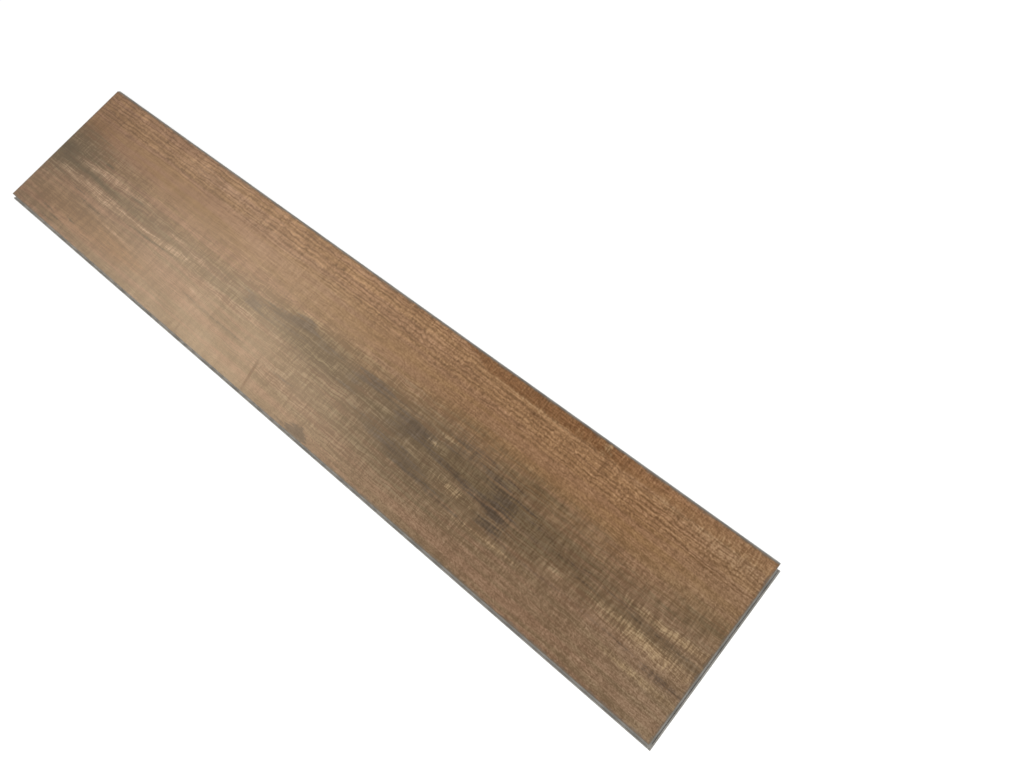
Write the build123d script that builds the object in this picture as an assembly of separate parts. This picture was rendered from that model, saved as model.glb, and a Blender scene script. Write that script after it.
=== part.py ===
# Rigid core vinyl plank: angling tongue and groove on the long edges, drop lock on the ends.
# Millimetres. The origin is on the underside, below the centre of the printed face.
# +X runs along the plank to the end with the hook lip, +Y across it to the tongue, +Z up.
import os
from math import radians, tan

from build123d import *

os.makedirs("parts", exist_ok=True)

# Plank
face_length = 1220.0  # printed face, end to end
face_width = 230.0  # printed face, edge to edge
thickness = 5.5  # underside to wear surface
vinyl_thickness = 0.55  # print film and clear wear layer, pressed onto the core
eased_edge = 0.2  # fine bevel round the printed face
play = 0.05  # clearance between faces of two planks that slide past each other
end_gap = 0.3  # free space past the tip of a lip or tongue in a closed joint

# Long edges: groove and lower lip at the front, tongue and relieved underside at the back
groove_cover = 2.0  # stock above the groove
lip_floor = 1.3  # lower lip below its pocket
lip_reach = 4.3  # lower lip past the printed face
lip_tip = 0.4  # bevel at the tip of the lip
crest_width = 1.1  # flat top of the locking crest
crest_rise = 0.8  # locking crest above the pocket
lock_angle = 55.0  # slope of the locking face, degrees from level
tongue_reach = 2.4  # tongue past the printed face
tongue_flat = 1.0  # flat part of the tongue before its rounded nose

# Ends: hook lip at +X, downward hook at -X
hook_floor = 1.3  # hook lip below its pocket
hook_reach = 4.3  # hook lip past the printed face
hook_tip = 0.4  # bevel at the tip of the hook lip
hook_pocket = 2.3  # width of the pocket at its floor
hook_rise = 1.3  # hook above the pocket floor
hook_lean = 0.2  # pocket widens by this much from floor to mouth, to let the other hook drop in
catch_reach = 0.2  # bead that snaps under the neighbour's face
catch_height = 0.9  # height of that bead on the joint face

# Levels and distances that the two halves of a joint share
core_top = thickness - vinyl_thickness
groove_top = thickness - groove_cover
groove_middle = (groove_top + lip_floor) / 2
crest_top = lip_floor + crest_rise
crest_outer = lip_reach - lip_tip
crest_inner = crest_outer - crest_width
lock_foot = crest_inner - crest_rise / tan(radians(lock_angle))
lip_relief = lip_reach + end_gap
hook_top = hook_floor + hook_rise
hook_relief = hook_reach + end_gap
catch_middle = (hook_floor + core_top) / 2

front = -face_width / 2
back = face_width / 2
left = -face_length / 2
right = face_length / 2


def rounded_nose(edge, reach, half_height):
    # Half ellipse from the upper flat round to the lower one, pointing to +Y
    return EllipticalCenterArc(
        (edge + tongue_flat, groove_middle),
        reach - tongue_flat,
        half_height,
        start_angle=-90,
        arc_size=180,
    )


def long_edge_section():
    # Section across the plank, looking along it
    groove_half = (groove_top - lip_floor) / 2
    tongue_half = groove_half - play
    tongue_top = groove_middle + tongue_half
    tongue_bottom = groove_middle - tongue_half
    face_and_tongue_top = Polyline(
        (front, thickness - eased_edge),
        (front + eased_edge, thickness),
        (back - eased_edge, thickness),
        (back, thickness - eased_edge),
        (back, tongue_top),
        (back + tongue_flat, tongue_top),
    )
    underside_and_lip = Polyline(
        (back + tongue_flat, tongue_bottom),
        (back - lock_foot + play, tongue_bottom),
        (back - crest_inner + play, crest_top + play),
        (back - lip_relief, crest_top + play),
        (back - lip_relief, 0),
        (front - lip_reach, 0),
        (front - lip_reach, crest_top - lip_tip),
        (front - crest_outer, crest_top),
        (front - crest_inner, crest_top),
        (front - lock_foot, lip_floor),
        (front + tongue_flat, lip_floor),
    )
    groove_roof = Polyline(
        (front + tongue_flat, groove_top),
        (front, groove_top),
        (front, thickness - eased_edge),
    )
    tongue_nose = rounded_nose(back, tongue_reach, tongue_half)
    groove_end = rounded_nose(front, tongue_reach + end_gap, groove_half)
    outline = [face_and_tongue_top, tongue_nose, underside_and_lip, groove_end, groove_roof]
    return Plane.YZ * make_face(outline)


def catch_curve(edge, reach, half_height):
    # Shallow arc on a joint face, standing out to -X by its reach
    return ThreePointArc(
        (edge, catch_middle - half_height),
        (edge - reach, catch_middle),
        (edge, catch_middle + half_height),
    )


def end_section():
    # Section along the plank, looking across it
    bead_half = catch_height / 2
    notch_half = bead_half + play
    face_and_hook_joint = Polyline(
        (left, catch_middle + bead_half),
        (left, thickness - eased_edge),
        (left + eased_edge, thickness),
        (right - eased_edge, thickness),
        (right, thickness - eased_edge),
        (right, catch_middle + notch_half),
    )
    hooks_and_underside = Polyline(
        (right, catch_middle - notch_half),
        (right, hook_floor),
        (right + hook_pocket, hook_floor),
        (right + hook_pocket + hook_lean, hook_top),
        (right + hook_reach - hook_tip, hook_top),
        (right + hook_reach, hook_top - hook_tip),
        (right + hook_reach, 0),
        (left + hook_relief, 0),
        (left + hook_relief, hook_top + play),
        (left + hook_pocket + hook_lean - play, hook_top + play),
        (left + hook_pocket - play, hook_floor + play),
        (left, hook_floor + play),
        (left, catch_middle - bead_half),
    )
    notch = catch_curve(right, catch_reach + play, notch_half)
    bead = catch_curve(left, catch_reach, bead_half)
    return Plane.XZ * make_face([face_and_hook_joint, notch, hooks_and_underside, bead])


def corner_reliefs():
    # Where two lower lips would foul a neighbour, each is cut back to the other's relief
    hook_lip_end = Pos(right, back - lip_relief) * Box(
        hook_relief, lip_relief + tongue_reach, thickness, align=(Align.MIN, Align.MIN, Align.MIN)
    )
    front_lip_end = Pos(left + hook_relief, front) * Box(
        hook_relief + catch_reach, lip_relief, thickness, align=(Align.MAX, Align.MAX, Align.MIN)
    )
    return [hook_lip_end, front_lip_end]


def milled_plank():
    # The pressed board after both profiles have been milled right along its edges
    along = extrude(long_edge_section(), face_length / 2 + hook_relief, both=True)
    across = extrude(end_section(), face_width / 2 + lip_relief, both=True)
    return (along & across) - corner_reliefs()


plank = milled_plank()
print_plane = Plane.XY.offset(core_top)
rigid_core = split(plank, bisect_by=print_plane, keep=Keep.BOTTOM)
printed_vinyl_face = split(plank, bisect_by=print_plane, keep=Keep.TOP)

export_step(rigid_core, "parts/rigid_core.step")
export_step(printed_vinyl_face, "parts/printed_vinyl_face.step")
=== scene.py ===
import math

import bpy
from mathutils import Matrix, Vector


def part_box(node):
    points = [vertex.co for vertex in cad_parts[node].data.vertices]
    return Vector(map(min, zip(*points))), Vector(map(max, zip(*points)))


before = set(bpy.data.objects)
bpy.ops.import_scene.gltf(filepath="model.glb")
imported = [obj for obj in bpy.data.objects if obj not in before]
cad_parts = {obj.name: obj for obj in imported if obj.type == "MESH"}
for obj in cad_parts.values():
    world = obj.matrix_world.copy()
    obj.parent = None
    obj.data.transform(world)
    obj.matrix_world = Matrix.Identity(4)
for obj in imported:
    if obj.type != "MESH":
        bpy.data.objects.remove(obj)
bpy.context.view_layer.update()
scene = bpy.context.scene
scene.view_settings.view_transform = "Standard"

faceLow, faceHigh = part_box("printed_vinyl_face")
coreLow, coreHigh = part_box("rigid_core")
filmBottom = faceLow.z
mm = 0.001
endless = 1e6  # grain size in mm in a direction where a noise does not change
faceLength = (faceHigh.x - faceLow.x) / mm
faceWidth = (faceHigh.y - faceLow.y) / mm
print("frame loaded, face", [round(side / mm, 1) for side in faceHigh - faceLow], "mm")


# small helpers for building node trees

def newNode(tree, kind, **settings):
    node = tree.nodes.new(kind)
    for name, value in settings.items():
        setattr(node, name, value)
    return node


def feed(tree, socket, value):  # value is another node's output, a number or a colour
    if isinstance(value, bpy.types.NodeSocket):
        tree.links.new(value, socket)
    else:
        socket.default_value = value


def calc(tree, operation, first, second=0.0, third=0.0, clamp=False):
    node = newNode(tree, "ShaderNodeMath", operation=operation, use_clamp=clamp)
    for socket, value in zip(node.inputs, (first, second, third)):
        feed(tree, socket, value)
    return node.outputs[0]


def remap(tree, value, fromLow, fromHigh, toLow=0.0, toHigh=1.0, smooth=True):
    node = newNode(tree, "ShaderNodeMapRange", interpolation_type="SMOOTHSTEP" if smooth else "LINEAR")
    for name, amount in (("Value", value), ("From Min", fromLow), ("From Max", fromHigh),
                         ("To Min", toLow), ("To Max", toHigh)):
        feed(tree, node.inputs[name], amount)
    return node.outputs["Result"]


def mixColour(tree, factor, under, over, mode="MIX"):
    node = newNode(tree, "ShaderNodeMix", data_type="RGBA", blend_type=mode)
    feed(tree, node.inputs[0], factor)
    feed(tree, node.inputs[6], under)
    feed(tree, node.inputs[7], over)
    return node.outputs[2]


def place(tree, vector, move=(0, 0, 0), scale=(1, 1, 1), turn=0.0, kind="POINT"):
    node = newNode(tree, "ShaderNodeMapping", vector_type=kind)
    tree.links.new(vector, node.inputs["Vector"])
    node.inputs["Location"].default_value = move
    node.inputs["Scale"].default_value = scale
    node.inputs["Rotation"].default_value = (0, 0, turn)
    return node.outputs["Vector"]


def noise(tree, vector, size, detail=2.0, roughness=0.5, distortion=0.0, shift=(0, 0, 0)):
    # size is the grain size in mm along x, y and z
    scaled = place(tree, vector, move=shift, scale=[1 / side for side in size])
    node = newNode(tree, "ShaderNodeTexNoise")
    tree.links.new(scaled, node.inputs["Vector"])
    node.inputs["Scale"].default_value = 1.0
    node.inputs["Detail"].default_value = detail
    node.inputs["Roughness"].default_value = roughness
    node.inputs["Distortion"].default_value = distortion
    return node.outputs["Fac"]


def swing(tree, value, amount):  # noise to a signed amount about zero
    return calc(tree, "MULTIPLY", calc(tree, "SUBTRACT", value, 0.5), amount)


def linear(red, green, blue):  # a colour read off as 0-255 values, to Blender's linear colour
    def channel(value):
        value = value / 255
        return value / 12.92 if value <= 0.04045 else ((value + 0.055) / 1.055) ** 2.4
    return channel(red), channel(green), channel(blue), 1.0


def newMaterial(name):
    material = bpy.data.materials.new(name)
    material.use_nodes = True
    tree = material.node_tree
    shader = tree.nodes["Principled BSDF"]
    return material, tree, shader


def split(tree, vector):
    node = newNode(tree, "ShaderNodeSeparateXYZ")
    tree.links.new(vector, node.inputs[0])
    return node.outputs["X"], node.outputs["Y"], node.outputs["Z"]


def plankMillimetres(tree):
    # object coordinates in mm, from the left front corner of the printed face
    coords = newNode(tree, "ShaderNodeTexCoord")
    start = (-faceLow.x / mm, -faceLow.y / mm, 0)
    return place(tree, coords.outputs["Object"], move=start, scale=(1 / mm, 1 / mm, 1 / mm))


# effects that both materials use

def newGroup(name, inputs, outputs):
    group = bpy.data.node_groups.new(name, "ShaderNodeTree")
    for label, kind in inputs:
        group.interface.new_socket(label, in_out="INPUT", socket_type=kind)
    for label, kind in outputs:
        group.interface.new_socket(label, in_out="OUTPUT", socket_type=kind)
    return group, newNode(group, "NodeGroupInput").outputs, newNode(group, "NodeGroupOutput").inputs


def makeMottle():
    # soft clouds and small specks, sizes in mm
    group, given, result = newGroup(
        "surfaceMottle",
        [("Vector", "NodeSocketVector"), ("Cloud Size", "NodeSocketFloat"),
         ("Speck Size", "NodeSocketFloat")],
        [("Cloud", "NodeSocketFloat"), ("Specks", "NodeSocketFloat")])
    for size, label, detail in (("Cloud Size", "Cloud", 4.0), ("Speck Size", "Specks", 1.0)):
        scaled = newNode(group, "ShaderNodeVectorMath", operation="SCALE")
        group.links.new(given["Vector"], scaled.inputs[0])
        group.links.new(calc(group, "DIVIDE", 1.0, given[size]), scaled.inputs["Scale"])
        cloud = newNode(group, "ShaderNodeTexNoise")
        cloud.inputs["Scale"].default_value = 1.0
        cloud.inputs["Detail"].default_value = detail
        group.links.new(scaled.outputs[0], cloud.inputs["Vector"])
        low, high = (0.35, 0.65) if label == "Cloud" else (0.6, 0.74)
        group.links.new(remap(group, cloud.outputs["Fac"], low, high), result[label])
    return group


def makeEdgeRim():
    # rim of a length x width outline, broken up along its edges
    group, given, result = newGroup(
        "edgeRim",
        [("Vector", "NodeSocketVector"), ("Length", "NodeSocketFloat"), ("Width", "NodeSocketFloat"),
         ("Reach", "NodeSocketFloat")],
        [("Mask", "NodeSocketFloat")])
    x, y = split(group, given["Vector"])[:2]
    toEnd = calc(group, "MINIMUM", x, calc(group, "SUBTRACT", given["Length"], x))
    toSide = calc(group, "MINIMUM", y, calc(group, "SUBTRACT", given["Width"], y))
    inside = calc(group, "DIVIDE", calc(group, "MINIMUM", toEnd, toSide), given["Reach"])
    broken = noise(group, given["Vector"], (9, 9, 9), detail=3.0, roughness=0.6)
    brokenRim = calc(group, "ADD", inside, swing(group, broken, 2.4))
    group.links.new(remap(group, brokenRim, 0.2, 1.0, 1.0, 0.0), result["Mask"])
    return group


def useGroup(tree, group, vector, **values):  # values are named like the sockets, without the space
    node = newNode(tree, "ShaderNodeGroup", node_tree=group)
    tree.links.new(vector, node.inputs["Vector"])
    for socket in node.inputs:
        key = socket.name.replace(" ", "")
        if key in values:
            socket.default_value = values[key]
    return node.outputs


mottleGroup = makeMottle()
edgeRimGroup = makeEdgeRim()


# printed face: x runs from the left end, y from the front edge, both in mm
printLook = {
    "colours": {
        "frontTan": (129, 104, 78),
        "middleTan": (130, 104, 77),
        "backTan": (145, 109, 73),
        "edgeTan": (168, 128, 90),
        "rust": (137, 97, 62),
        "olive": (92, 76, 53),
        "smoke": (68, 55, 46),
        "leftSmoke": (72, 59, 40),
        "cream": (171, 143, 106),
        "pinkCream": (176, 142, 114),
        "endTan": (134, 114, 90),
        "edgeGrey": (102, 94, 84),
        "redBrown": (122, 81, 48),
        "lineBrown": (94, 62, 37),
        "rose": (142, 103, 82),
        "wearSide": (140, 128, 110),
        "filmSide": (74, 58, 44),
    },
    "sheenFade": (350, 850),  # the sheen of the left end fades out between these
    "lineTurn": (600, 950),  # the grain lines draw closer between these
    "lineSpacing": (6.6, 5.2),
    "lineStart": (165, 157),
    "lineMiddle": 200.0,
    "bandStart": (740, 830),
    "bandEdge": 212.5,
    "darkestTone": 0.68,
    "rubReach": 2.8,
    "rubStrength": 0.6,
    "roughness": (0.34, 0.44),
    "specular": 0.22,
    "specularTint": (1.0, 0.865, 0.69, 1.0),
    "bumpStrength": 0.4,
    "bumpHeight": 0.0001,
    # x, y, half length, half width, slope, strength
    "hazes": [
        (25, 112, 100, 62, 0.0, 1.1), (150, 99, 220, 34, 0.0, 0.7), (340, 95, 190, 32, 0.0, 0.45),
        (520, 103, 190, 38, 0.0, 0.8), (600, 108, 120, 34, 0.0, 0.6), (720, 105, 190, 54, 0.0, 0.75),
        (790, 75, 130, 40, 0.0, 0.6), (880, 102, 190, 64, -0.05, 0.8), (1010, 99, 190, 60, 0.0, 0.65),
        (1160, 98, 140, 54, 0.0, 0.45), (640, 85, 150, 30, 0.0, 0.3), (1000, 45, 300, 25, 0.0, 0.25),
        # the haze at x -20 covers the whole left end: painted shade, standing in for less light there
        (690, 44, 200, 36, 0.0, 0.65), (-20, 125, 90, 130, 0.0, 0.3), (1195, 133, 80, 30, 0.0, 0.5),
        (95, 140, 150, 26, 0.0, 0.5), (840, 42, 130, 34, 0.0, 0.4), (990, 138, 120, 22, 0.0, 0.35),
        (850, 152, 120, 30, 0.0, 0.2),
    ],
    "rusts": [
        (110, 36, 210, 44, 0.0, 0.9), (250, 36, 130, 26, 0.0, 0.7), (25, 165, 70, 28, 0.0, 0.7),
        (70, 195, 110, 22, 0.0, 0.5), (180, 160, 80, 22, 0.0, 0.5), (868, 92, 45, 12, -0.1, 0.6),
        (60, 150, 90, 24, 0.0, 0.5), (690, 226, 100, 14, 0.0, 0.7), (60, 84, 100, 30, 0.0, 0.4),
    ],
    "smudges": [
        (10, 108, 48, 20, 0.0, 0.9), (8, 88, 30, 7, 0.0, 0.5), (75, 99, 80, 6, 0.0, 0.55),
        (140, 97, 60, 5, 0.0, 0.65), (108, 127, 15, 7, 0.0, 0.8), (160, 125, 14, 6, 0.0, 0.35),
        (195, 111, 32, 4, 0.0, 0.6), (244, 89, 14, 4, 0.0, 0.5), (276, 78, 75, 3.5, 0.045, 0.9),
        (142, 61, 46, 4, 0.0, 0.9), (446, 49, 80, 2.6, 0.0, 1.0), (606, 46, 36, 4, 0.0, 0.6),
        (75, 20, 34, 3.5, -0.08, 0.9), (570, 122, 30, 11, 0.0, 1.1), (545, 116, 60, 8, 0.05, 0.85),
        (478, 103, 22, 9, 0.0, 0.9), (510, 110, 75, 4, 0.0, 0.8), (505, 97, 60, 4, 0.0, 0.7),
        (620, 114, 55, 8, 0.0, 0.6), (706, 116, 50, 10, 0.0, 1.2), (680, 100, 26, 14, 0.0, 0.5),
        (750, 107, 50, 8, 0.0, 0.5), (792, 102, 45, 14, 0.0, 1.15), (775, 90, 40, 9, 0.0, 0.6),
        (775, 68, 60, 13, 0.0, 0.75), (730, 75, 50, 8, 0.0, 0.5), (820, 62, 60, 10, 0.0, 0.6),
        (850, 93, 75, 6, -0.05, 0.8), (900, 86, 85, 5.5, -0.07, 0.95), (937, 90, 36, 17, 0.0, 0.8),
        (929, 106, 34, 10, -0.1, 0.65), (945, 69, 36, 14, 0.0, 0.75), (880, 118, 70, 14, 0.0, 0.5),
        (860, 128, 50, 8, 0.0, 0.35), (960, 110, 80, 4, -0.1, 0.6), (985, 100, 60, 5, -0.05, 0.4),
        (920, 125, 110, 3, -0.12, 0.5), (1040, 93, 60, 4, 0.0, 0.4), (1060, 84, 50, 5, 0.0, 0.4),
        (1175, 90, 80, 11, 0.0, 0.5), (1185, 57, 64, 6.5, -0.02, 0.7), (1153, 122, 14, 7, 0.0, 0.2),
        (1020, 60, 90, 4, 0.0, 0.35), (860, 55, 80, 5, -0.05, 0.5), (669, 1, 22, 17, 0.0, 3.0),
        (640, 3, 30, 3, 0.0, 0.5), (560, 103, 70, 3, 0.0, 0.5), (700, 122, 55, 2.5, 0.0, 0.5),
        (720, 110, 60, 2.5, 0.0, 0.5), (760, 82, 50, 3, 0.0, 0.5), (760, 118, 60, 3, 0.0, 0.4),
        (800, 74, 40, 3, 0.0, 0.5), (830, 112, 40, 3, -0.05, 0.5), (870, 106, 60, 2.5, -0.06, 0.5),
        (950, 80, 30, 4, -0.1, 0.6), (960, 62, 40, 3, 0.0, 0.4), (1000, 88, 70, 3, -0.03, 0.4),
        (1090, 96, 60, 3, 0.0, 0.4), (1100, 60, 60, 3, 0.0, 0.4), (660, 90, 60, 3, 0.0, 0.35),
        (90, 70, 60, 3, 0.0, 0.5), (40, 76, 40, 3, 0.0, 0.5), (100, 14, 24, 2.6, 0.0, 0.8),
        (92, 7, 26, 2.6, 0.0, 0.7), (130, 26, 20, 2.5, -0.1, 0.6),
    ],
    "creams": [
        (130, 113, 100, 7, 0.05, 0.75), (90, 84, 90, 8, 0.0, 0.75), (142, 78, 50, 5, 0.0, 0.6),
        (190, 84, 90, 7, 0.0, 0.65), (290, 85, 110, 6, 0.05, 0.75), (300, 101, 30, 4, 0.0, 0.7),
        (370, 97, 30, 6, 0.0, 0.6), (150, 57, 40, 4, 0.0, 0.6), (215, 52, 60, 4, 0.02, 0.6),
        (240, 118, 30, 3, 0.0, 0.4), (400, 62, 60, 8, 0.0, 0.3), (480, 85, 30, 9, 0.0, 0.25),
        (835, 120, 20, 5, 0.0, 0.8), (820, 103, 14, 3, 0.0, 0.6), (880, 74, 48, 9, 0.0, 0.45),
        (960, 52, 75, 3, -0.01, 0.6), (935, 49, 60, 2, 0.0, 0.5), (1180, 104, 85, 7, 0.02, 0.85),
        (1162, 75, 90, 13, 0.0, 0.8), (1165, 45, 75, 6, 0.0, 0.6), (1050, 75, 60, 8, 0.0, 0.2),
        (995, 222, 8, 14, 0.0, 0.9), (1090, 211, 90, 10, 0.0, 0.4), (1185, 210, 70, 24, 0.0, 0.4),
        (480, 166, 200, 40, 0.0, 0.5), (310, 205, 180, 28, 0.0, 0.3), (900, 211.5, 120, 3, -0.02, 0.5),
    ],
    "crossMarks": [  # cracks and saw marks across the grain
        (557, 24, 3.0, 32, 0.22, 1.9), (415, 9, 2.4, 14, 0.2, 0.9), (156, 205, 4, 34, 0.0, 0.5),
        (62, 200, 4, 30, 0.0, 0.4), (647, 190, 4, 34, 0.0, 0.4), (1004, 205, 5, 32, 0.0, 0.5),
        (1024, 214, 4, 18, 0.0, 0.6), (900, 206, 125, 2.2, -0.02, 0.8), (1108, 208, 3, 22, 0.0, 0.5),
        (1190, 210, 3, 24, 0.0, 0.5),
    ],
}


def streakSum(tree, vector, streaks):
    # each streak is a soft ellipse; their strengths add up
    total = 0.0
    for x, y, halfLength, halfWidth, slope, strength in streaks:
        local = place(tree, vector, move=(x, y, 0), scale=(halfLength, halfWidth, endless),
                      turn=math.atan(slope), kind="TEXTURE")
        blob = newNode(tree, "ShaderNodeTexGradient", gradient_type="SPHERICAL")
        tree.links.new(local, blob.inputs["Vector"])
        total = calc(tree, "MULTIPLY_ADD", blob.outputs["Fac"], strength, total)
    return total


def wander(tree, vector, swingX, swingY, sizeX, sizeY):
    # push the coordinates about, so that nothing printed is ruler straight
    shift = newNode(tree, "ShaderNodeCombineXYZ")
    feed(tree, shift.inputs["X"], swing(tree, noise(tree, vector, sizeX, shift=(31, 7, 0)), swingX))
    feed(tree, shift.inputs["Y"], swing(tree, noise(tree, vector, sizeY, detail=3.0), swingY))
    moved = newNode(tree, "ShaderNodeVectorMath", operation="ADD")
    tree.links.new(vector, moved.inputs[0])
    tree.links.new(shift.outputs[0], moved.inputs[1])
    return moved.outputs[0]


def product(tree, *values):
    total = values[0]
    for value in values[1:]:
        total = calc(tree, "MULTIPLY", total, value)
    return total


def swingSum(tree, start, *terms):  # start plus each noise times its amount
    total = start
    for value, amount in terms:
        total = calc(tree, "MULTIPLY_ADD", calc(tree, "SUBTRACT", value, 0.5), amount, total)
    return total


def greyColour(tree, value):
    node = newNode(tree, "ShaderNodeCombineColor")
    for socket in node.inputs:
        feed(tree, socket, value)
    return node.outputs["Color"]


def brownShade(tree, value):  # shade that turns browner as it darkens
    node = newNode(tree, "ShaderNodeCombineColor")
    for socket, power in zip(node.inputs, (1.0, 1.15, 1.32)):
        feed(tree, socket, calc(tree, "POWER", value, power))
    return node.outputs["Color"]


def addBump(tree, shader, height, look):
    bump = newNode(tree, "ShaderNodeBump")
    bump.inputs["Strength"].default_value = look["bumpStrength"]
    bump.inputs["Distance"].default_value = look["bumpHeight"]
    tree.links.new(height, bump.inputs["Height"])
    tree.links.new(bump.outputs["Normal"], shader.inputs["Normal"])


def printedFaceMaterial():
    material, tree, shader = newMaterial("printedVinylFace")
    paint = {name: linear(*value) for name, value in printLook["colours"].items()}
    sheenFade = printLook["sheenFade"]
    lineTurn = printLook["lineTurn"]
    flat = plankMillimetres(tree)
    wavy = wander(tree, flat, 28.0, 12.0, (60, 4, endless), (140, 30, endless))
    ruffled = wander(tree, flat, 3.0, 7.0, (9, 16, endless), (26, 16, endless))
    along, across, height = split(tree, flat)
    ruffledAcross = split(tree, ruffled)[1]

    # fibres along the plank, saw chatter across it, curly flecks between
    fibres = noise(tree, ruffled, (34, 1.5, endless), detail=3.0, roughness=0.6)
    strands = noise(tree, ruffled, (60, 2.8, endless), detail=2.0, shift=(21, 3, 0))
    combs = noise(tree, ruffled, (3.6, 22, endless), detail=2.0, shift=(2, 13, 0))
    streaky = noise(tree, wavy, (90, 5, endless), detail=4.0, roughness=0.65, shift=(8, 23, 0))
    bands = noise(tree, wavy, (260, 11, endless), detail=3.0, roughness=0.55, shift=(3, 11, 0))
    chatter = noise(tree, ruffled, (2.4, 16, endless), detail=3.0, roughness=0.6, shift=(5, 2, 0))
    coarseChatter = noise(tree, ruffled, (10, 40, endless), detail=3.0, distortion=0.8, shift=(17, 4, 0))
    slanted = place(tree, flat, turn=0.5)
    flecks = noise(tree, slanted, (5, 1.7, endless), detail=3.0, roughness=0.6, distortion=1.0)
    curls = noise(tree, flat, (4.2, 2.6, endless), detail=3.0, distortion=1.6, shift=(9, 1, 0))
    pores = remap(tree, noise(tree, ruffled, (7, 0.35, endless), detail=1.0, shift=(1, 5, 0)), 0.62, 0.74)
    mottle = useGroup(tree, mottleGroup, flat, CloudSize=70.0, SpeckSize=3.0)

    # base tan, warmer to the back
    ramp = newNode(tree, "ShaderNodeValToRGB")
    feed(tree, ramp.inputs["Fac"], calc(tree, "DIVIDE", across, faceWidth))
    stops = ramp.color_ramp.elements
    stops[0].position, stops[0].color = 0.0, paint["frontTan"]
    stops[1].position, stops[1].color = 0.92, paint["edgeTan"]
    for position, name in ((0.25, "frontTan"), (0.45, "middleTan"), (0.7, "backTan")):
        stop = stops.new(position)
        stop.color = paint[name]
    rosy = product(tree, remap(tree, bands, 0.4, 0.62), remap(tree, along, 250, 900, 0.6, 0.35))
    colour = mixColour(tree, rosy, ramp.outputs["Color"], paint["rose"])
    rusty = streakSum(tree, wavy, printLook["rusts"])
    colour = mixColour(tree, remap(tree, rusty, 0.0, 1.0, 0.0, 0.6), colour, paint["rust"])
    colour = mixColour(tree, remap(tree, along, 1050, 1220, 0.0, 0.35), colour, paint["endTan"])

    # combed band along the back edge, from the middle of the plank to the right
    edge = swingSum(tree, across, (chatter, 9.0), (coarseChatter, 12.0))
    pastBack = faceWidth + 2.0  # no band at all
    bandEdge = remap(tree, along, *printLook["bandStart"], pastBack, printLook["bandEdge"])
    combBand = remap(tree, calc(tree, "SUBTRACT", edge, bandEdge), 0.0, 3.0)

    # wavy grain lines along the back, weaker in the band
    fromLines = calc(tree, "SUBTRACT", ruffledAcross, printLook["lineMiddle"])
    fromLines = swingSum(tree, fromLines, (bands, 16.0), (coarseChatter, 6.0), (combs, 3.0))
    turns = calc(tree, "DIVIDE", fromLines, remap(tree, along, *lineTurn, *printLook["lineSpacing"]))
    wave = calc(tree, "SINE", calc(tree, "MULTIPLY", turns, 2 * math.pi))
    lines = calc(tree, "POWER", calc(tree, "MULTIPLY_ADD", wave, 0.5, 0.5), 2.2)
    lineStart = remap(tree, along, *lineTurn, *printLook["lineStart"])
    lineZone = remap(tree, calc(tree, "SUBTRACT", across, lineStart), 0.0, 27.0)
    lineZone = product(tree, lineZone, remap(tree, streaky, 0.25, 0.55, 0.4, 1.0))
    lineDepth = remap(tree, combBand, 0.0, 1.0, 0.62, 0.2)
    colour = mixColour(tree, product(tree, lines, lineZone, lineDepth), colour, paint["lineBrown"])

    # the band itself, red-brown with pale teeth
    paleTeeth = remap(tree, chatter, 0.42, 0.72, 0.0, 0.7)
    combTone = mixColour(tree, paleTeeth, paint["redBrown"], paint["backTan"])
    fade = remap(tree, along, 960, 1130, 0.92, 0.4)
    colour = mixColour(tree, product(tree, combBand, fade), colour, combTone)

    # the sheen thins out what is printed to the left, so it is printed more strongly there
    leftBoost = remap(tree, along, *sheenFade, 1.65, 1.0)

    # olive haze with painted shade over the left end, darker smudges and pale streaks, all frayed by the
    # fibres and the chatter
    hazeAndLeftShade = streakSum(tree, wavy, printLook["hazes"])
    hazeAndShadeGate = remap(tree, hazeAndLeftShade, 0.0, 0.4)
    frayed = swingSum(tree, 0.0, (strands, 1.6), (streaky, 1.8), (combs, 0.8), (fibres, 0.9))
    hazeAndShade = remap(tree, calc(tree, "MULTIPLY_ADD", frayed, hazeAndShadeGate, hazeAndLeftShade), 0.0, 1.2)
    colour = mixColour(tree, product(tree, hazeAndShade, 0.8), colour, paint["olive"])
    smudgeSum = streakSum(tree, wavy, printLook["smudges"])
    smudgeBoost = remap(tree, along, *sheenFade, 1.4, 1.1)
    frayed = swingSum(tree, 0.0, (strands, 2.6), (streaky, 1.8), (combs, 1.1), (fibres, 1.4))
    smudge = calc(tree, "MULTIPLY_ADD", frayed, remap(tree, smudgeSum, 0.0, 0.35), smudgeSum)
    smudge = remap(tree, product(tree, smudge, smudgeBoost), 0.0, 1.25, 0.0, 0.82)
    smokeTone = mixColour(tree, remap(tree, along, 200, 500), paint["leftSmoke"], paint["smoke"])
    colour = mixColour(tree, smudge, colour, smokeTone)
    creamSum = streakSum(tree, wavy, printLook["creams"])
    combed = product(tree, swing(tree, chatter, 1.7), remap(tree, along, *sheenFade, 0.3, 1.0))
    frayed = swingSum(tree, combed, (fibres, 0.8), (streaky, 0.7))
    creamGate = remap(tree, creamSum, 0.0, 0.3)
    cream = calc(tree, "MULTIPLY_ADD", frayed, creamGate, creamSum)
    creamTone = mixColour(tree, remap(tree, along, *sheenFade), paint["pinkCream"], paint["cream"])
    cream = product(tree, cream, remap(tree, along, *sheenFade, 1.45, 1.0))
    colour = mixColour(tree, remap(tree, cream, -0.05, 1.1, 0.0, 0.62), colour, creamTone)
    marks = streakSum(tree, ruffled, printLook["crossMarks"])
    colour = mixColour(tree, calc(tree, "MULTIPLY", marks, 0.9, clamp=True), colour, paint["lineBrown"])

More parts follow.
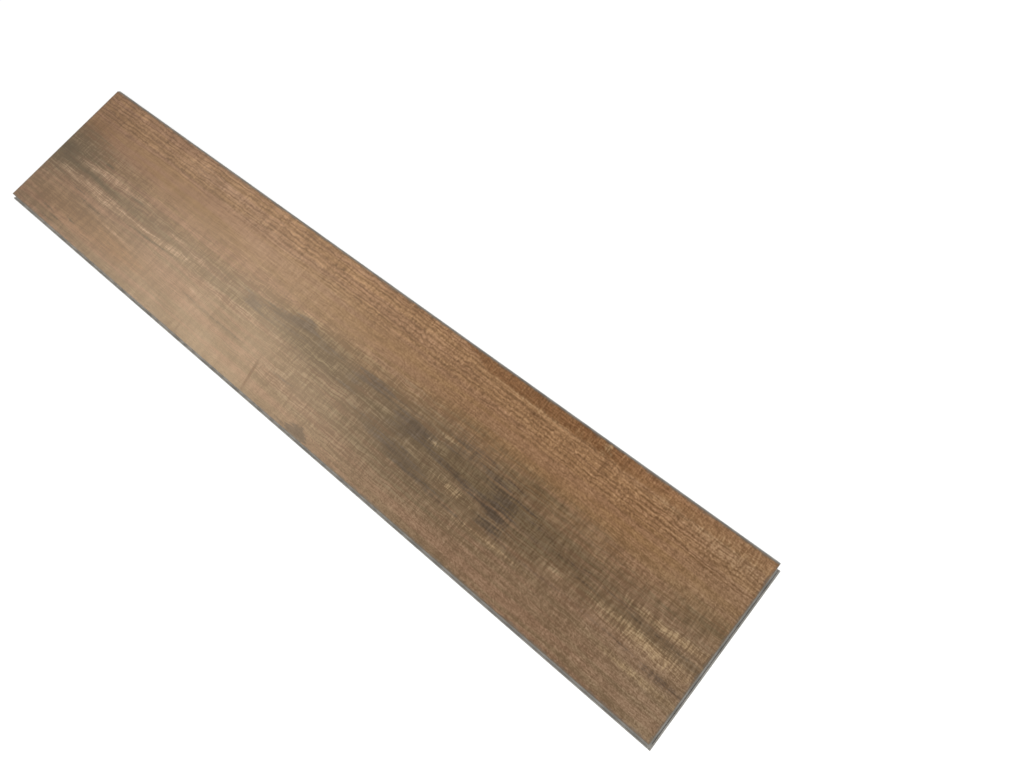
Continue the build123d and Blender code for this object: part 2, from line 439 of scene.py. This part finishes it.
    # fine contrast: more chatter in the haze and to the right, more flecks at the front right
    rightward = remap(tree, along, 350, 900)
    chatterZone = calc(tree, "MULTIPLY_ADD", rightward, 0.22, 0.22)
    chatterZone = calc(tree, "MULTIPLY_ADD", hazeAndShadeGate, 0.8, chatterZone)
    chatterZone = calc(tree, "MULTIPLY_ADD", lineZone, 0.5, chatterZone)
    clearOfHaze = remap(tree, hazeAndLeftShade, 0.1, 0.6, 1.0, 0.35)
    fleckZone = product(tree, calc(tree, "MULTIPLY_ADD", rightward, 0.6, 0.4), clearOfHaze)
    calmBand = product(tree, remap(tree, across, 135, 155), remap(tree, across, 175, 192, 1.0, 0.0))
    coarse = swingSum(tree, 0.0, (bands, 0.5), (streaky, 0.65), (coarseChatter, 0.6),
                      (mottle["Cloud"], 0.08))
    fine = swingSum(tree, 0.0, (flecks, 1.5), (curls, 1.3))
    fine = calc(tree, "MULTIPLY", fine, fleckZone)
    fibreZone = calc(tree, "MULTIPLY_ADD", hazeAndShadeGate, 0.6, 1.0)
    fine = calc(tree, "MULTIPLY_ADD", swing(tree, fibres, 1.45), fibreZone, fine)
    fine = calc(tree, "MULTIPLY_ADD", swing(tree, chatter, 1.5), chatterZone, fine)
    fine = calc(tree, "MULTIPLY", fine, remap(tree, along, 250, 800, 0.62, 1.0))
    midHaze = product(tree, hazeAndShadeGate, remap(tree, along, 330, 480, 1.0, 2.1),
                      remap(tree, along, 740, 900, 1.0, 0.22))
    fine = calc(tree, "MULTIPLY_ADD", swingSum(tree, 0.0, (strands, 1.5), (combs, 0.7)), midHaze, fine)
    calmLeft = product(tree, calmBand, remap(tree, along, 350, 750, 1.0, 0.25))
    fine = calc(tree, "MULTIPLY", fine, calc(tree, "MULTIPLY_ADD", calmLeft, -0.45, 1.0))
    tone = calc(tree, "MULTIPLY_ADD", coarse, calc(tree, "MULTIPLY_ADD", calmBand, -0.5, 1.0), fine)
    tone = product(tree, tone, leftBoost)
    tone = calc(tree, "MULTIPLY_ADD", pores, -0.3, tone)
    # painted shade: the tone falls to 0.84 toward the left end, standing in for less light there
    tone = calc(tree, "ADD", tone, remap(tree, along, -20, 170, 0.84, 1.0))
    tone = calc(tree, "MAXIMUM", tone, printLook["darkestTone"])
    colour = mixColour(tree, 1.0, colour, brownShade(tree, tone), mode="MULTIPLY")

    # a darker grey strip along the edges
    edgeMask = useGroup(tree, edgeRimGroup, flat, Length=faceLength, Width=faceWidth,
                   Reach=printLook["rubReach"])
    edgeDarkening = product(tree, edgeMask["Mask"], printLook["rubStrength"])
    colour = mixColour(tree, edgeDarkening, colour, paint["edgeGrey"])

    # cut side of the vinyl: dark film at the bottom, clear wear layer above it
    filmHeight = calc(tree, "SUBTRACT", height, filmBottom / mm)
    sideTone = mixColour(tree, remap(tree, filmHeight, 0.12, 0.16), paint["filmSide"], paint["wearSide"])
    sideTone = mixColour(tree, remap(tree, fibres, 0.3, 0.7, 0.0, 0.25), sideTone, paint["filmSide"])
    colour = mixColour(tree, remap(tree, filmHeight, 0.33, 0.36, 1.0, 0.0), colour, sideTone)

    tree.links.new(colour, shader.inputs["Base Color"])
    satin = swingSum(tree, fibres, (mottle["Cloud"], 0.2))
    feed(tree, shader.inputs["Roughness"], remap(tree, satin, 0.2, 0.8, *printLook["roughness"]))
    shader.inputs["Specular IOR Level"].default_value = printLook["specular"]
    shader.inputs["Specular Tint"].default_value = printLook["specularTint"]
    grain = swingSum(tree, 0.0, (fibres, 1.0), (flecks, 0.8), (chatter, 0.6), (pores, -0.4))
    addBump(tree, shader, grain, printLook)
    return material


coreLook = {
    "grey": (148, 145, 139),
    "dark": (128, 125, 119),
    "speck": (176, 173, 167),
    "dust": (176, 173, 167),
    "rubReach": 0.8,
    "rubStrength": 0.4,
    "roughness": (0.6, 0.75),
    "specular": 0.35,
    "bumpStrength": 0.4,
    "bumpHeight": 0.00006,
}


def rigidCoreMaterial():
    material, tree, shader = newMaterial("rigidCore")
    flat = plankMillimetres(tree)
    mottle = useGroup(tree, mottleGroup, flat, CloudSize=16.0, SpeckSize=0.6)

    # cutter lines run along the long edges, and across the plank at its two ends
    sideLines = noise(tree, flat, (180, 0.5, 0.5), detail=3.0, roughness=0.6)
    endLines = noise(tree, flat, (0.5, 180, 0.5), detail=3.0, roughness=0.6)
    fromMiddle = calc(tree, "ABSOLUTE", calc(tree, "SUBTRACT", split(tree, flat)[0], faceLength / 2))
    atEnds = calc(tree, "GREATER_THAN", fromMiddle, faceLength / 2 - 0.1)
    lines = calc(tree, "ADD", product(tree, sideLines, calc(tree, "SUBTRACT", 1.0, atEnds)),
                 product(tree, endLines, atEnds))

    colour = mixColour(tree, mottle["Cloud"], linear(*coreLook["grey"]), linear(*coreLook["dark"]))
    colour = mixColour(tree, product(tree, mottle["Specks"], 0.5), colour, linear(*coreLook["speck"]))
    lineShade = greyColour(tree, swingSum(tree, 1.0, (lines, 0.6)))
    colour = mixColour(tree, 1.0, colour, lineShade, mode="MULTIPLY")
    outline = place(tree, flat, move=(faceLow.x / mm - coreLow.x / mm, faceLow.y / mm - coreLow.y / mm, 0))
    edgeMask = useGroup(tree, edgeRimGroup, outline, Length=(coreHigh.x - coreLow.x) / mm,
                   Width=(coreHigh.y - coreLow.y) / mm, Reach=coreLook["rubReach"])
    dusty = product(tree, edgeMask["Mask"], coreLook["rubStrength"])
    colour = mixColour(tree, dusty, colour, linear(*coreLook["dust"]))
    tree.links.new(colour, shader.inputs["Base Color"])
    matt = remap(tree, mottle["Cloud"], 0.0, 1.0, *coreLook["roughness"])
    feed(tree, shader.inputs["Roughness"], matt)
    shader.inputs["Specular IOR Level"].default_value = coreLook["specular"]
    addBump(tree, shader, swingSum(tree, 0.0, (lines, 1.0), (mottle["Specks"], 0.5)), coreLook)
    return material


def dressNode(name, material):
    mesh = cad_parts[name].data
    mesh.materials.clear()
    mesh.materials.append(material)


dressNode("printed_vinyl_face", printedFaceMaterial())
dressNode("rigid_core", rigidCoreMaterial())
print("materials placed on", sorted(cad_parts))


# floor and light
stageLook = {"floorSize": 12.0, "contactRim": 0.0003, "floorAlbedo": 0.7, "floorGlow": 0.55,
             "ambient": 0.52, "backdrop": 0.85}


def seenDirectly(tree):  # 1 where the camera, a reflection or a clear surface sees it
    path = newNode(tree, "ShaderNodeLightPath")
    seen = calc(tree, "MAXIMUM", path.outputs["Is Camera Ray"], path.outputs["Is Glossy Ray"])
    return calc(tree, "MAXIMUM", seen, path.outputs["Is Transmission Ray"])


def makeFloor():
    # an opening that the plank covers keeps the floor off its underside, which can be seen from below
    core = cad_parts["rigid_core"]
    points = [core.matrix_world @ vertex.co for vertex in core.data.vertices]
    resting = [point for point in points if point.z < 0.01 * mm]
    rim = stageLook["contactRim"]
    left = min(point.x for point in resting) + rim
    right = max(point.x for point in resting) - rim
    front = min(point.y for point in resting) + rim
    back = max(point.y for point in resting) - rim
    half = stageLook["floorSize"] / 2
    corners = [(-half, -half, 0), (half, -half, 0), (half, half, 0), (-half, half, 0),
               (left, front, 0), (right, front, 0), (right, back, 0), (left, back, 0)]
    strips = [(0, 1, 5, 4), (1, 2, 6, 5), (2, 3, 7, 6), (3, 0, 4, 7)]
    mesh = bpy.data.meshes.new("floor")
    mesh.from_pydata(corners, [], strips)
    print("floor opening", [round(side / mm, 1) for side in (left, right, front, back)], "mm")
    floor = bpy.data.objects.new("floor", mesh)
    scene.collection.objects.link(floor)
    material, tree, shader = newMaterial("paleFloor")
    albedo = stageLook["floorAlbedo"]
    shader.inputs["Base Color"].default_value = (albedo, albedo, albedo, 1.0)
    shader.inputs["Roughness"].default_value = 0.9
    shader.inputs["Specular IOR Level"].default_value = 0.0
    shader.inputs["Emission Color"].default_value = (1.0, 1.0, 1.0, 1.0)
    feed(tree, shader.inputs["Emission Strength"],
         calc(tree, "MULTIPLY", seenDirectly(tree), stageLook["floorGlow"]))
    mesh.materials.append(material)


def makeWorld():
    world = bpy.data.worlds.new("studio")
    scene.world = world
    world.use_nodes = True
    tree = world.node_tree
    background = tree.nodes["Background"]
    background.inputs["Color"].default_value = (1.0, 1.0, 1.0, 1.0)
    strength = remap(tree, seenDirectly(tree), 0.0, 1.0, stageLook["ambient"], stageLook["backdrop"],
                     smooth=False)
    feed(tree, background.inputs["Strength"], strength)


boxLook = {
    "windowBox": {"position": (-1.38, -0.22, 1.65), "target": (-0.1, 0.0, 0.0), "side": 0.8, "watts": 64.0,
                  "tint": (1.0, 0.875, 0.72), "sheenOnly": True},
    "fillBox": {"position": (2.4, -0.8, 2.4), "target": (0.2, 0.0, 0.0), "side": 2.0, "watts": 62.0,
                "tint": (1.0, 1.0, 1.0), "sheenOnly": False},
}


def makeSoftbox(name):
    look = boxLook[name]
    lamp = bpy.data.lights.new(name, "AREA")
    lamp.size = look["side"]
    lamp.energy = look["watts"]
    lamp.color = look["tint"]
    box = bpy.data.objects.new(name, lamp)
    box.location = look["position"]
    aim = Vector(look["target"]) - Vector(look["position"])
    box.rotation_euler = aim.to_track_quat("-Z", "Y").to_euler()
    box.visible_diffuse = not look["sheenOnly"]  # the window only gives the satin sheen
    scene.collection.objects.link(box)


makeFloor()
makeWorld()
for boxName in boxLook:
    makeSoftbox(boxName)
print("floor and light made")


# camera above the right-hand end, rolled so that the plank runs down to the right
cameraLook = {
    "position": (0.6285, -0.0755, 0.9408),
    "target": (0.2415, 0.1038, 0.0055),
    "rollDegrees": -27.18,
    "lens": 29.58,
}


def makeCamera():
    data = bpy.data.cameras.new("photoCamera")
    data.sensor_width = 36.0
    data.lens = cameraLook["lens"]
    data.clip_start = 0.01
    camera = bpy.data.objects.new("photoCamera", data)
    position = Vector(cameraLook["position"])
    aim = (Vector(cameraLook["target"]) - position).to_track_quat("-Z", "Y").to_matrix()
    roll = Matrix.Rotation(math.radians(cameraLook["rollDegrees"]), 3, "Z")
    camera.matrix_world = Matrix.Translation(position) @ (aim @ roll).to_4x4()
    scene.collection.objects.link(camera)
    scene.camera = camera


makeCamera()
print("camera placed")
